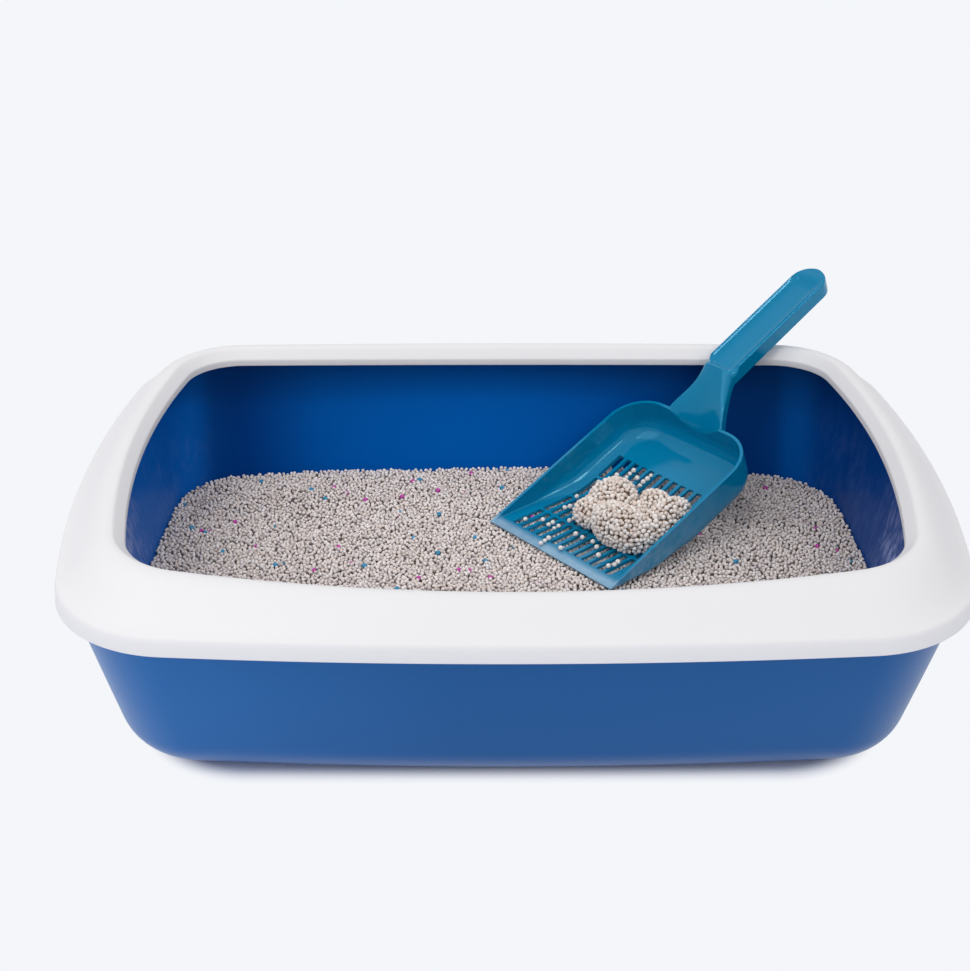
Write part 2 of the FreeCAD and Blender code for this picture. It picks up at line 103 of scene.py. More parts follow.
def station(outline, level, dip=0.0):
    """One loop of a wall: an outline at a level, its long sides sagging by the dip."""
    return np.concatenate([outline.sizes, [level, dip]])


def loop_points(values):
    """The points of a station's loop, in metres."""
    flat = Outline(*values[:5]).points()
    sag = values[6] * (1 - np.minimum(1, np.abs(flat[:, 0]) / values[0]) ** 2)
    return np.column_stack([flat, values[5] - sag]) * MM


MOST_PULL = 0.45


def rounded(stations, radii, steps):
    """The stations, with a smooth bend in place of each corner that has a radius."""
    out = []
    count = len(stations)
    for index, here in enumerate(stations):
        radius = radii.get(index, 0)
        if not radius:
            out.append(here)
            continue
        before = stations[index - 1]
        after = stations[(index + 1) % count]

        def pulled(other):
            gap = np.abs(other - here)[[0, 1, 5]].max()
            return here + (other - here) * min(MOST_PULL, radius / max(gap, 1e-6))
        start, stop = pulled(before), pulled(after)
        for share in np.linspace(0, 1, steps + 1):
            out.append((1 - share) ** 2 * start + 2 * share * (1 - share) * here + share**2 * stop)
    return out


def add_object(name, data):
    """A new object in the scene."""
    made = bpy.data.objects.new(name, data)
    bpy.context.scene.collection.objects.link(made)
    return made


def dress(piece, material, body):
    """Gives a piece its material, smooth shading and body."""
    mesh = piece.data
    mesh.materials.clear()
    mesh.materials.append(material)
    mesh.polygons.foreach_set("use_smooth", [True] * len(mesh.polygons))
    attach(piece, body)


def new_piece(name, mesh, material, body):
    """A named piece with its material, riding on a body."""
    piece = add_object(name, mesh)
    dress(piece, material, body)
    return piece


def mesh_from(name, points, faces):
    """A mesh of the points and faces, with its faces turned outwards."""
    mesh = bpy.data.meshes.new(name)
    mesh.from_pydata([tuple(p) for p in points], [], faces)
    work = bmesh.new()
    work.from_mesh(mesh)
    bmesh.ops.recalc_face_normals(work, faces=work.faces)
    work.to_mesh(mesh)
    work.free()
    return mesh


def hoops(first, rows, around, closed=False):
    """The faces between rows of points, each row a loop of around points."""
    faces = []
    for row in range(rows if closed else rows - 1):
        low = first + row * around
        high = first + (row + 1) % rows * around
        for step in range(around):
            after = (step + 1) % around
            faces.append((low + step, low + after, high + after, high + step))
    return faces


def cap(first, around):
    """The face over one loop of points."""
    return tuple(range(first, first + around))


def wall_mesh(name, stations, closed):
    """A mesh through the stations: a closed one is a hoop, an open one has a cap at each end."""
    loops = [loop_points(values) for values in stations]
    around = len(loops[0])
    points = np.vstack(loops)
    faces = hoops(0, len(loops), around, closed)
    if not closed:
        faces += [cap(0, around)[::-1], cap(len(points) - around, around)]
    return mesh_from(name, points, faces)


# ---- material helpers

NODES_IN_ROW = 8
NODE_ACROSS = 220
NODE_DOWN = 280
MIX_INPUTS = (0, 6, 7)
PLASTIC_RELIEF = 0.0004
CLAY_RELIEF = 0.0003
CLAY_BUMP = 0.35


def node(tree, kind, **values):
    """A new node with its values, laid out in rows in the order of making."""
    made = tree.nodes.new(kind)
    row, place = divmod(len(tree.nodes), NODES_IN_ROW)
    made.location = (-NODE_ACROSS * (1 + place), -NODE_DOWN * row)
    for key, value in values.items():
        setattr(made, key, value)
    return made


def join(value, socket):
    """Feeds an input from an output socket, or sets it to a plain value."""
    if isinstance(value, bpy.types.NodeSocket):
        socket.id_data.links.new(value, socket)
    else:
        socket.default_value = value


def feed(sockets, *values):
    """Feeds or sets inputs in turn."""
    for value, socket in zip(values, sockets):
        join(value, socket)


def set_inputs(made, **values):
    """Feeds or sets a node's inputs by their names, with _ for a space."""
    for name, value in values.items():
        join(value, made.inputs[name.replace("_", " ")])
    return made


def maths(tree, operation, *values, kind="ShaderNodeMath"):
    """A sum on sockets and plain values."""
    made = node(tree, kind, operation=operation)
    feed(made.inputs, *values)
    return made.outputs[0]


def product(tree, total, *factors):
    """The product of sockets and plain numbers."""
    for factor in factors:
        total = maths(tree, "MULTIPLY", total, factor)
    return total


def mix_colour(tree, share, low, high):
    """A colour mix of sockets and plain values."""
    mixer = node(tree, "ShaderNodeMix", data_type="RGBA")
    feed([mixer.inputs[place] for place in MIX_INPUTS], share, low, high)
    return mixer.outputs[2]


def ramp(tree, source, low, high, to_low=0.0, to_high=1.0, **values):
    """A value taken from one range to another, held at its ends."""
    made = node(tree, "ShaderNodeMapRange", **values)
    feed(made.inputs, source, low, high, to_low, to_high)
    return made.outputs["Result"]


def spot_on_piece(tree):
    """The place of a point on its piece, in metres."""
    return node(tree, "ShaderNodeTexCoord").outputs["Object"]


def axes_of(tree, vector):
    """The three parts of a vector."""
    return set_inputs(node(tree, "ShaderNodeSeparateXYZ"), Vector=vector).outputs


def noise_texture(tree, where, **values):
    return set_inputs(node(tree, "ShaderNodeTexNoise"), Vector=where, **values).outputs["Fac"]


def patches(tree, scale, detail, stretch=(1, 1, 1), roughness=0.55):
    """Cloudy patches fixed to the piece."""
    mapping = set_inputs(node(tree, "ShaderNodeMapping"), Scale=stretch, Vector=spot_on_piece(tree))
    where = mapping.outputs["Vector"]
    return noise_texture(tree, where, Scale=scale, Detail=detail, Roughness=roughness)


def srgb(red, green, blue):
    """A colour given as it looks on a screen, 0 to 255."""
    def line(value):
        value /= 255
        return value / 12.92 if value <= 0.04045 else ((value + 0.055) / 1.055) ** 2.4
    return (line(red), line(green), line(blue), 1.0)


def moulded_surface():
    """Node group: the surface of moulded plastic, as a tint mask, a roughness and a height."""
    group = bpy.data.node_groups.new("moulded_surface", "ShaderNodeTree")
    for way, names in (
        ("INPUT", ("Scale", "Base Roughness", "Roughness Spread")),
        ("OUTPUT", ("Cloud", "Roughness", "Height")),
    ):
        for name in names:
            group.interface.new_socket(name, in_out=way, socket_type="NodeSocketFloat")
    given = node(group, "NodeGroupInput").outputs
    where = spot_on_piece(group)
    cloud = noise_texture(group, where, Scale=9, Detail=4)
    grain = noise_texture(group, where, Scale=given["Scale"], Detail=3)
    rough = maths(group, "MULTIPLY_ADD", cloud, given["Roughness Spread"], given["Base Roughness"])
    set_inputs(node(group, "NodeGroupOutput"), Cloud=cloud, Roughness=rough, Height=grain)
    return group


MOULDED = moulded_surface()


def new_material(name):
    """A new material with its node tree and its shader."""
    material = bpy.data.materials.new(name)
    material.use_nodes = True
    return material, material.node_tree, material.node_tree.nodes["Principled BSDF"]


def add_relief(shader, height, strength, distance):
    """Fine relief on a shader."""
    bump = node(shader.id_data, "ShaderNodeBump")
    set_inputs(bump, Strength=strength, Distance=distance, Height=height)
    set_inputs(shader, Normal=bump.outputs["Normal"])


def plastic(name, finish, dark, light, scale, roughness, spread, bump, **sockets):
    """A moulded plastic of cloudy tint, uneven gloss and fine grain, and its parts."""
    material, tree, shader = new_material(name)
    surface = node(tree, "ShaderNodeGroup", node_tree=MOULDED)
    set_inputs(surface, Scale=scale, Base_Roughness=roughness, Roughness_Spread=spread)
    add_relief(shader, surface.outputs["Height"], bump, PLASTIC_RELIEF)
    tint = mix_colour(tree, surface.outputs["Cloud"], dark, light)
    set_inputs(shader, Roughness=surface.outputs["Roughness"], Base_Color=tint, **sockets)
    material["finish"] = finish
    return material, tree, shader, tint


# ---- guard rim

LIP = Outline(250, 185, 16.5, 9.5, 70)
LIP_DRAFT = 0.8
LIP_HEIGHT = 10
LIP_SHARE = 0.14
RIM_WALL = 2.4
RIDGE = Outline(219, 155.4, 13.3, 16, 44)
GUARD_REACH = 5.2
GUARD_DROP = 5.6
GUARD_RETURN = 4.4
SEAT_LEVEL = 119
SEAT_SHARES = (0.371, 0.3)
CREASE_LEVEL = SEAT_LEVEL + 1.9
RIDGE_LEVEL = SEAT_LEVEL + 23.5
SIDE_DIP = 8.0
SKIRT_BULGE = 2.6
SKIRT_SWEEP = 5.5
EDGE_BEND = 0.9
CREASE_BEND = 4.4
RIDGE_BEND = 1.6
GUARD_BEND = 1.1


def skirt(share, drop=0.0):
    """The station a share of the way up the skirt, from the crease (0) to the ridge (1)."""
    bulge = 4 * (SKIRT_BULGE + SKIRT_SWEEP * (2 * share - 1)) * share * (1 - share)
    level = CREASE_LEVEL + (RIDGE_LEVEL - CREASE_LEVEL) * share + bulge
    return station(LIP.inset(LIP_DRAFT).toward(RIDGE, share), level - drop, SIDE_DIP * share)


def guard(share, drop=0.0):
    """The station a share of the way from the ridge (0) down the rounded inner edge (1)."""
    level = RIDGE_LEVEL - GUARD_DROP * share - drop
    return station(RIDGE.inset(GUARD_REACH * share), level, SIDE_DIP)


def guard_return(skin):
    """The foot of the short wall that hangs from the guard's inner edge, skin behind its face."""
    level = RIDGE_LEVEL - GUARD_DROP - GUARD_RETURN
    return station(RIDGE.inset(GUARD_REACH - skin), level, SIDE_DIP)


def make_rim(material):
    lip_inside = LIP.inset(RIM_WALL)
    lip_bottom = CREASE_LEVEL - LIP_HEIGHT
    sections = [station(LIP, lip_bottom), skirt(0.0)]
    corners = {0: EDGE_BEND, 1: CREASE_BEND}
    sections += [skirt(share) for share in np.linspace(0, 0.95, 22)[2:]]
    corners[len(sections)] = RIDGE_BEND
    sections += [skirt(1.0)]
    sections += [guard(share) for share in np.linspace(0.4, 1, 4)]
    corners[len(sections) - 1] = GUARD_BEND
    sections += [guard_return(0.0), guard_return(RIM_WALL)]
    corners[len(sections) - 2] = corners[len(sections) - 1] = EDGE_BEND
    sections += [guard(1 - RIM_WALL / GUARD_REACH, RIM_WALL), guard(0.2, RIM_WALL)]
    sections += [skirt(share, RIM_WALL) for share in np.linspace(1, 0.42, 10)[1:]]
    seat_inner, seat_outer = SEAT_SHARES
    sections += [skirt(seat_inner, RIM_WALL)]
    sections += [station(Outline(*skirt(seat)[:5]), SEAT_LEVEL) for seat in SEAT_SHARES]
    sections += [skirt(seat_outer, RIM_WALL), skirt(LIP_SHARE, RIM_WALL)]
    sections += [station(lip_inside, CREASE_LEVEL - RIM_WALL / 2), station(lip_inside, lip_bottom)]
    corners[len(sections) - 1] = EDGE_BEND
    mesh = wall_mesh("guard_rim", rounded(sections, corners, 5), closed=True)
    piece = new_piece("guard_rim", mesh, material, "rim")
    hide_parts("rim")


# ---- tub

FLANGE_GAP = 0.5
FLANGE_EDGE = LIP.inset(RIM_WALL + FLANGE_GAP)
END_REACH = 4.4
SIDE_REACH = 9.4
WALL_TOP = Outline(FLANGE_EDGE.sizes[0] - END_REACH, FLANGE_EDGE.sizes[1] - SIDE_REACH, 15, 9.5, 50)
TUB_WALL = 2.5
FLANGE_WALL = 2.5
FLANGE_BENDS = (1.0, 0.6, 0.8, 1.0)
FOOT_STEPS = 16
WALL_STEPS = 12
WALL_START = 30
INNER_START = 34
INNER_STOP = SEAT_LEVEL - 6
UNDER_RINGS = (70, 40)
FLOOR_RING = 60
LENGTH_DRAFT = math.radians(13.4)
WIDTH_DRAFT = math.radians(18.3)
FOOT_RADIUS = 35
TUB_BASE = Outline(
    WALL_TOP.sizes[0] - SEAT_LEVEL * math.tan(LENGTH_DRAFT),
    WALL_TOP.sizes[1] - SEAT_LEVEL * math.tan(WIDTH_DRAFT),
    0.5, 7.6, 44,
)


def tub_outline(level, skin=0.0):
    """The tub's wall at a level, skin further in than its outside."""
    return WALL_TOP.toward(TUB_BASE, (SEAT_LEVEL - level) / SEAT_LEVEL).inset(skin)


def foot_inset(rise, radius, draft):
    """How far in the foot's rounding lies at a rise, or the wall's own slope above it."""
    turn = math.acos(1 - rise / radius)
    if turn >= math.pi / 2 - draft:
        return -rise * math.tan(draft)
    return radius * ((1 - math.sin(draft)) / math.cos(draft) - math.sin(turn))


def tub_foot(level, skin, radius):
    """Stations up the rounded foot, from floor to wall, each side by its own slope."""
    base = tub_outline(level, skin).sizes
    top = radius * (1 - math.sin(LENGTH_DRAFT))
    first = foot_inset(0, radius, LENGTH_DRAFT)
    last = foot_inset(top, radius, LENGTH_DRAFT)
    end_bow, side_bow, last_corner = tub_outline(level + top, skin).sizes[2:]
    out = []
    for turn in np.linspace(0, math.pi / 2 - LENGTH_DRAFT, FOOT_STEPS):
        rise = min(top, radius * (1 - math.cos(turn)))
        along = foot_inset(rise, radius, LENGTH_DRAFT)
        across = foot_inset(rise, radius, WIDTH_DRAFT)
        grown = (first - along) / (first - last)
        corner = (base[4] - first) * (1 - grown) + last_corner * grown
        outline = Outline(base[0] - along, base[1] - across, end_bow, side_bow, corner)
        out.append(station(outline, level + rise))
    return out


def make_tub(material):
    sections = [station(tub_outline(0).inset(inset), 0) for inset in UNDER_RINGS]
    sections += tub_foot(0, 0, FOOT_RADIUS)
    rises = np.linspace(WALL_START, SEAT_LEVEL - FLANGE_WALL, WALL_STEPS)
    sections += [station(tub_outline(level), level) for level in rises]
    corners = {len(sections) - 1 + step: bend for step, bend in enumerate(FLANGE_BENDS)}
    sections += [station(FLANGE_EDGE, SEAT_LEVEL - FLANGE_WALL), station(FLANGE_EDGE, SEAT_LEVEL)]
    sections += [station(tub_outline(SEAT_LEVEL, TUB_WALL), SEAT_LEVEL)]
    falls = np.linspace(INNER_STOP, INNER_START, WALL_STEPS)
    sections += [station(tub_outline(level, TUB_WALL), level) for level in falls]
    sections += tub_foot(TUB_WALL, TUB_WALL, FOOT_RADIUS - TUB_WALL)[::-1]
    sections += [station(tub_outline(TUB_WALL).inset(FLOOR_RING), TUB_WALL)]
    mesh = wall_mesh("tub", rounded(sections, corners, 3), closed=False)
    piece = new_piece("tub", mesh, material, "tray")
    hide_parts("tray")


# ---- litter

LITTER_LEVEL = 50
LITTER_FALL = 5
GRAIN = 1.1
BED_SIDE = TUB_WALL + 0.4
BED_EDGE = 46
BED_SINK = 1.6
BED_RINGS = 40
BED_LEVELS = (34, 38, 42)
GRAIN_SINK = 0.9
GRAIN_PILE = 1.9
GRAIN_TOUCH = 0.93
LOOK_NEAR = 3.1
GRAIN_SIZES = (0.8, 1.3, 1.0)
GRAIN_SQUASH = (0.92, 1.06)
GRAIN_TILT = 0.9
CROWN_REACH = 240
LITTER_DROP = 1.0
LITTER_OVER = 0.6
BANK = 2.4
BANK_START = 70
BANK_REACH = 60
# ripples of the bed: height, reach along and across, and where in the noise
RIPPLES = ((1.6, 70, 60, 0.3), (0.8, 28, 26, 4.1))
# a heap and two hollows left by the scoop: height, place along and across, reach along and across
HEAP = (3.2, -148, 116, 26, 20)
FURROW = (-3.6, -110, -40, 38, 60)
HOLLOW = (-2.6, 150, -30, 34, 46)


def mound(x, y, height, along, across, long, wide):
    """A soft round heap, or a hollow with a height below 0."""
    return height * math.exp(-(((x - along) / long) ** 2 + ((y - across) / wide) ** 2))


def litter_level(x, y):
    """The surface of the bed in millimetres: crowned, with soft heaps."""
    crown = LITTER_LEVEL - GRAIN - LITTER_FALL * (x / CROWN_REACH) ** 2
    places = [(high, Vector((x / long, y / wide, at))) for high, long, wide, at in RIPPLES]
    ripples = sum(high * noise.noise(place) for high, place in places)
    bank = BANK * min(1.0, max(0.0, (y - BANK_START) / BANK_REACH))
    level = crown + ripples - LITTER_DROP + mound(x, y, *HEAP) + bank
    return min(level + mound(x, y, *FURROW) + mound(x, y, *HOLLOW), LITTER_LEVEL + LITTER_OVER)


def make_bed(material):
    """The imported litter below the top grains."""
    sections = tub_foot(BED_SIDE, BED_SIDE, FOOT_RADIUS - BED_SIDE)
    sections += [station(tub_outline(level, BED_SIDE), level) for level in BED_LEVELS]
    loops = [loop_points(values) for values in sections]
    edge = tub_outline(BED_EDGE, BED_SIDE).points()
    for share in np.linspace(1, 0, BED_RINGS)[:-1]:
        ring = [(x, y, litter_level(x, y) - BED_SINK) for x, y in edge * share]
        loops.append(np.array(ring) * MM)
    around = len(edge)
    points = np.vstack(loops + [[(0, 0, (litter_level(0, 0) - BED_SINK) * MM)]])
    faces = [cap(0, around)[::-1]] + hoops(0, len(loops), around)
    last = (len(loops) - 1) * around
    faces += [(last + step, last + (step + 1) % around, len(points) - 1) for step in range(around)]
    piece = new_piece("litter_bed", mesh_from("litter_bed", points, faces), material, "tray")
    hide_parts("litter")


def ball_shape():
    """The points and triangles of a small round grain."""
    work = bmesh.new()
    bmesh.ops.create_icosphere(work, subdivisions=2, radius=1.0)
    points = np.array([v.co[:] for v in work.verts])
    faces = np.array([[v.index for v in f.verts] for f in work.faces])
    work.free()
    return points, faces


BALL_POINTS, BALL_FACES = ball_shape()


def grains_mesh(name, centres, radii, seed):
    """One mesh of many slightly uneven grains. Centres and radii are in metres."""
    dice = np.random.default_rng(seed)
    count = len(centres)
    centres = np.array(centres).reshape(-1, 3)
    squash = dice.uniform(*GRAIN_SQUASH, (count, 1, 3))
    turn = dice.uniform(0, 2 * math.pi, count)
    tilt = dice.uniform(-GRAIN_TILT, GRAIN_TILT, count)
    shape = BALL_POINTS[None] * squash * np.array(radii)[:, None, None]
    cos, sin = np.cos(tilt)[:, None], np.sin(tilt)[:, None]
    x, y, z = np.moveaxis(shape, -1, 0)
    x, z = x * cos - z * sin, x * sin + z * cos
    cos, sin = np.cos(turn)[:, None], np.sin(turn)[:, None]
    x, y = x * cos - y * sin, x * sin + y * cos
    points = np.stack([x, y, z], axis=-1) + centres[:, None]
    faces = BALL_FACES[None] + (np.arange(count) * len(BALL_POINTS))[:, None, None]
    mesh = bpy.data.meshes.new(name)
    flat_points = points.reshape(-1, 3)
    flat_faces = faces.reshape(-1, 3)
    mesh.vertices.add(len(flat_points))
    mesh.vertices.foreach_set("co", flat_points.astype(np.float32).ravel())
    mesh.loops.add(flat_faces.size)
    mesh.loops.foreach_set("vertex_index", flat_faces.astype(np.int32).ravel())
    mesh.polygons.add(len(flat_faces))
    mesh.polygons.foreach_set("loop_start", np.arange(0, flat_faces.size, 3, dtype=np.int32))
    mesh.update(calc_edges=True)
    # each grain has its own cell of the map, its underside in the cell's right half
    cells = math.ceil(math.sqrt(count))
    under = BALL_POINTS[BALL_FACES].mean(axis=1)[:, 2] < 0
    spread = BALL_POINTS[BALL_FACES][..., :2] * [0.22, 0.42] + [0.25, 0.5]
    spread[under, :, 0] += 0.5
    index = np.arange(count)
    cell = np.stack([index % cells, index // cells], axis=-1)
    places = (cell[:, None, None] + spread[None]) / cells
    unwrapped = mesh.uv_layers.new(name="OFBake")
    unwrapped.data.foreach_set("uv", places.astype(np.float32).ravel())
    return mesh


def settle_grains(seed, tries):
    """Grains dropped one by one, each to rest on the bed or on the grains below it."""
    dice = random.Random(seed)
    limits = tub_outline(BED_EDGE, BED_SIDE)
    x, y = limits.points().T
    polar = np.arctan2(y, x)
    order = np.argsort(polar)
    polar, reach = polar[order], np.hypot(x, y)[order]
    places = {}
    out = []
    half_x, half_y = limits.sizes[:2]
    for _ in range(tries):
        x = dice.uniform(-half_x, half_x)
        y = dice.uniform(-half_y, half_y)
        radius = GRAIN * dice.triangular(*GRAIN_SIZES)
        limit = np.interp(math.atan2(y, x), polar, reach, period=2 * math.pi)
        if math.hypot(x, y) + radius > limit:
            continue
        column, row = int(x // LOOK_NEAR), int(y // LOOK_NEAR)
        bed = litter_level(x, y) - GRAIN_SINK
        rest = bed
        for near_column in (column - 1, column, column + 1):
            for near_row in (row - 1, row, row + 1):
                for ox, oy, oz, other in places.get((near_column, near_row), ()):
                    touch = (radius + other) * GRAIN_TOUCH
                    apart = (x - ox) ** 2 + (y - oy) ** 2
                    if apart < touch * touch:
                        rest = max(rest, oz + math.sqrt(touch * touch - apart))
        if rest > bed + GRAIN_PILE:
            continue
        grain = (x, y, rest, radius)
        places.setdefault((column, row), []).append(grain)
        out.append(grain)
    return out


def in_metres(grains, swell=1.0):
    """The centres and radii of grains in metres, the radii swollen."""
    centres = [np.array(grain[:3]) * MM for grain in grains]
    return centres, [grain[3] * swell * MM for grain in grains]


def grain_piece(name, centres, radii, seed, material, body):
    """A piece made of many grains."""
    piece = new_piece(name, grains_mesh(name, centres, radii, seed), material, body)
    return piece


# ---- scoop

HEADING = math.radians(40)
LEAN = math.radians(22.98)
PAN_LENGTH = 138
PAN_HALF = 55
PAN_DEPTH = 27
PAN_RAMP = 67
PAN_EDGE = 1.5
PAN_SLOPE = (PAN_DEPTH - PAN_EDGE) / PAN_RAMP
PAN_WALL = 2.0
PAN_LIFT = PAN_WALL * math.hypot(1, PAN_SLOPE) - PAN_EDGE
PAN_CORNER = 26
PAN_HOLLOW = 13
PAN_FILLET = 1.2
FILLET_LEAST = 0.05
FILLET_STEPS = 7
FILLET_START = 30
SLOTS_ACROSS = 13
SLOT_ROWS = 4
SLOT_WIDTH = 4.6
SLOT_LENGTH = 22
SLOT_PITCH = 7
ROW_PITCH = 24
SLOT_START = 9
SLOT_CORNER = 0.8
SCOOP_BEVEL = 0.32
BEVEL_ANGLE = math.radians(38)
SHARP_ANGLE = math.radians(40)
NECK_FOOT = 7.5
NECK_RUN = 28
NECK_RISE = 22
NECK_HALF = 23
NECK_ARCH = 3.4
HANDLE_HALF = 12.5
HANDLE_LENGTH = 104
HANDLE_RISE = 4
HANDLE_DEPTH = 10
HANDLE_WALL = 2.4
HANDLE_DISH = 3.2
FOOT_REACH = 10
FOOT_SAG = 4
COLLAR = 3.5
COLLAR_RUN = 12
EDGE_ROUNDING = 1.2
NECK_ROUNDING = 4.2
MOST_ROUNDING = 0.45
SWELL_START = 4
SWELL_RUN = 22
ARCH_FADE = 9
TAIL_TURN = 0.985
DISH_SHARE = 0.9
DISH_START = 5
DISH_END = 16
DISH_FADE = 9
NECK_START = PAN_LENGTH - PAN_WALL
THROAT = PAN_LENGTH + NECK_RUN
TAIL = THROAT + HANDLE_LENGTH


def scoop_place():
    """Where the scoop rests, from the corners of its box."""
    low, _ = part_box("scoop")
    turn = Matrix.Rotation(HEADING, 4, "Z") @ Matrix.Rotation(-LEAN, 4, "Y")
    front = Vector((
        low.x + PAN_HALF * MM * math.sin(HEADING),
        low.y + PAN_HALF * MM * math.cos(HEADING),
        low.z + PAN_EDGE * MM * math.cos(LEAN),
    ))
    return Matrix.Translation(front) @ turn @ Matrix.Scale(MM, 4)


SCOOP_PLACE = scoop_place()


def pan_floor(x, inner):
    """The level of the pan's underside or, for the inner face, of its ramp and floor."""
    if inner:
        return max(PAN_LIFT - PAN_SLOPE * x, PAN_WALL - PAN_DEPTH)
    return -min(PAN_DEPTH, PAN_EDGE + PAN_SLOPE * max(x, 0))


def pan_path(gap):
    """The pan's wall in plan, gap in from its outside: points and inward directions."""
    half, length, corner = PAN_HALF - gap, PAN_LENGTH - gap, PAN_CORNER - gap
    out = [(x, half, 0, -1) for x in np.linspace(0, PAN_LENGTH - PAN_CORNER, 15)[:-1]]
    for turn in np.linspace(math.pi / 2, 0, 13):
        cos, sin = math.cos(turn), math.sin(turn)
        x, y = PAN_LENGTH - PAN_CORNER + corner * cos, half - corner + corner * sin
        out.append((x, y, -cos, -sin))
    out += [(length, y, -1, 0) for y in np.linspace(half - corner, 0, 6)[1:]]
    return out + [(x, -y, nx, -ny) for x, y, nx, ny in out[-2::-1]]


def pan_skin(points, faces, gap, inner):
    """One face of the pan: a strip from top edge to end of fillet, and a floor in two planes."""
    tops = []
    for x, y, nx, ny in pan_path(gap):
        hollow = PAN_HOLLOW - PAN_FILLET - (0 if inner else PAN_WALL)
        radius = PAN_FILLET + hollow * ease((x - FILLET_START) / (PAN_RAMP - FILLET_START))
        column = []
        bottom = pan_floor(x + nx * radius, inner)
        radius = min(radius, max(FILLET_LEAST, -bottom - FILLET_LEAST))
        for share in (0, 0.35, 0.7):
            column.append((x, y, min(0.0, bottom + radius) * share))
        for turn in np.linspace(0, math.pi / 2, FILLET_STEPS):
            shift = radius * (1 - math.cos(turn))
            px, py = x + nx * shift, y + ny * shift
            level = pan_floor(px, inner) + radius * (1 - math.sin(turn))
            column.append((px, py, min(level, 0.0)))
        tops.append(len(points))
        points.extend(column)
    deep = len(column)
    for top in tops[:-1]:
        for at in range(top, top + deep - 1):
            faces.append((at, at + 1, at + deep + 1, at + deep))
    ring = [top + deep - 1 for top in tops]
    kink = (PAN_DEPTH - PAN_WALL + PAN_LIFT) / PAN_SLOPE if inner else PAN_RAMP
    near = [index for index in ring if points[index][0] <= kink]
    left = [index for index in near if points[index][1] > 0]
    right = [index for index in near if points[index][1] < 0]
    faces.append(tuple(left + right))
    faces.append(tuple(ring[ring.index(left[-1]):ring.index(right[0]) + 1]))
    return tops, ring, deep


def pan_solid():
    """The scoop's pan before its slots are cut."""
    points, faces = [], []
    outer_tops, outer_ring, deep = pan_skin(points, faces, 0, False)
    inner_tops, inner_ring, _ = pan_skin(points, faces, PAN_WALL, True)
    faces.extend(zip(outer_tops, outer_tops[1:], inner_tops[1:], inner_tops))
    for at in (0, -1):
        outer, inner = outer_tops[at], inner_tops[at]
        for step in range(deep - 1):
            faces.append((outer + step, outer + step + 1, inner + step + 1, inner + step))
    faces.append((outer_ring[0], inner_ring[0], inner_ring[-1], outer_ring[-1]))
    return add_object("pan", mesh_from("pan", points, faces))


def ease(value):
    """0 up to 0, 1 from 1 on, smooth between."""
    value = min(1.0, max(0.0, value))
    return value * value * (3 - 2 * value)


def grip_edge(x):
    """The level of the neck's and the handle's raised edges."""
    if x < THROAT:
        return NECK_RISE * (x - NECK_START) / (THROAT - NECK_START)
    return NECK_RISE + HANDLE_RISE * (x - THROAT) / HANDLE_LENGTH


def neck_half(x):
    """Half the width of the neck and handle, flared at the foot and rounded at the tail."""
    if x < THROAT:
        share = min(1.0, (THROAT - x) / NECK_RUN)
        return HANDLE_HALF + (NECK_HALF - HANDLE_HALF) * share**1.5
    close = max(0.0, x - (TAIL - HANDLE_HALF))
    return math.sqrt(max(0.0, HANDLE_HALF**2 - close**2)) + 0.3


def grip_top(x, aside):
    """The level of the top: a trough at the pan, an arch, then the handle's dish."""
    edge = grip_edge(x)
    if x < THROAT:
        up = (x - NECK_START) / (THROAT - NECK_START)
        foot = math.sqrt(min(1.0, (x - NECK_START) / FOOT_REACH))
        sunk = NECK_FOOT * (1 - up) ** 1.4 + FOOT_SAG * (1 - foot) ** 2
        return edge - sunk * (1 - aside**2) ** 1.5 - NECK_ARCH * up**1.6 * aside**3
    arch = NECK_ARCH * (1 - ease((x - THROAT) / ARCH_FADE)) * aside**3
    collar = THROAT + COLLAR - COLLAR * (1 - aside**2)
    fade = 1 - ease((x - TAIL + DISH_END) / DISH_FADE)
    dish = HANDLE_DISH * ease((x - collar) / DISH_START) * fade
    return edge - arch - dish * max(0.0, 1 - (aside / DISH_SHARE) ** 6)


GRIP_ASIDES = (0, 0.16, 0.32, 0.48, 0.62, 0.74, 0.83, 0.89, 0.93)
HALF_SECTION = 16


def grip_section(x):
    """A section across the neck or handle: an upside-down channel with a shaped top."""
    half = neck_half(x)
    swell = ease((x - NECK_START - SWELL_START) / SWELL_RUN) * (1 - ease((x - THROAT) / ARCH_FADE))
    rounding = min(EDGE_ROUNDING + NECK_ROUNDING * swell, half * MOST_ROUNDING)
    bottom = min(grip_edge(x) - HANDLE_DEPTH, grip_top(x, 0.0) - HANDLE_WALL)
    shoulder_y = half - rounding
    shoulder_z = grip_top(x, shoulder_y / half)
    asides = [aside for aside in GRIP_ASIDES if aside * half < shoulder_y - 0.1]
    kept = [(aside * half, grip_top(x, aside)) for aside in asides]
    for turn in np.linspace(0, math.pi / 2, 7):
        out, down = rounding * math.sin(turn), rounding * (1 - math.cos(turn))
        kept.append((shoulder_y + out, shoulder_z - down))
    while len(kept) < HALF_SECTION:
        kept.insert(-7, tuple((a + b) / 2 for a, b in zip(kept[-8], kept[-7])))
    lip = min(HANDLE_WALL, half * 0.3)
    side = kept + [(half, bottom), (half - lip, bottom)]
    solid_end = x > TAIL - HANDLE_HALF - 1 or x < PAN_LENGTH + HANDLE_WALL
    lowest = min(grip_top(x, aside) for aside in (0.0, 0.7, 0.85))
    ceiling = bottom + 0.3 if solid_end else max(bottom + 0.3, lowest - HANDLE_WALL)
    side += [(half - lip - min(0.8, half * 0.1), ceiling)]
    mirrored = [(-y, z) for y, z in side[:0:-1]]
    return [(x, y, z) for y, z in side + mirrored]


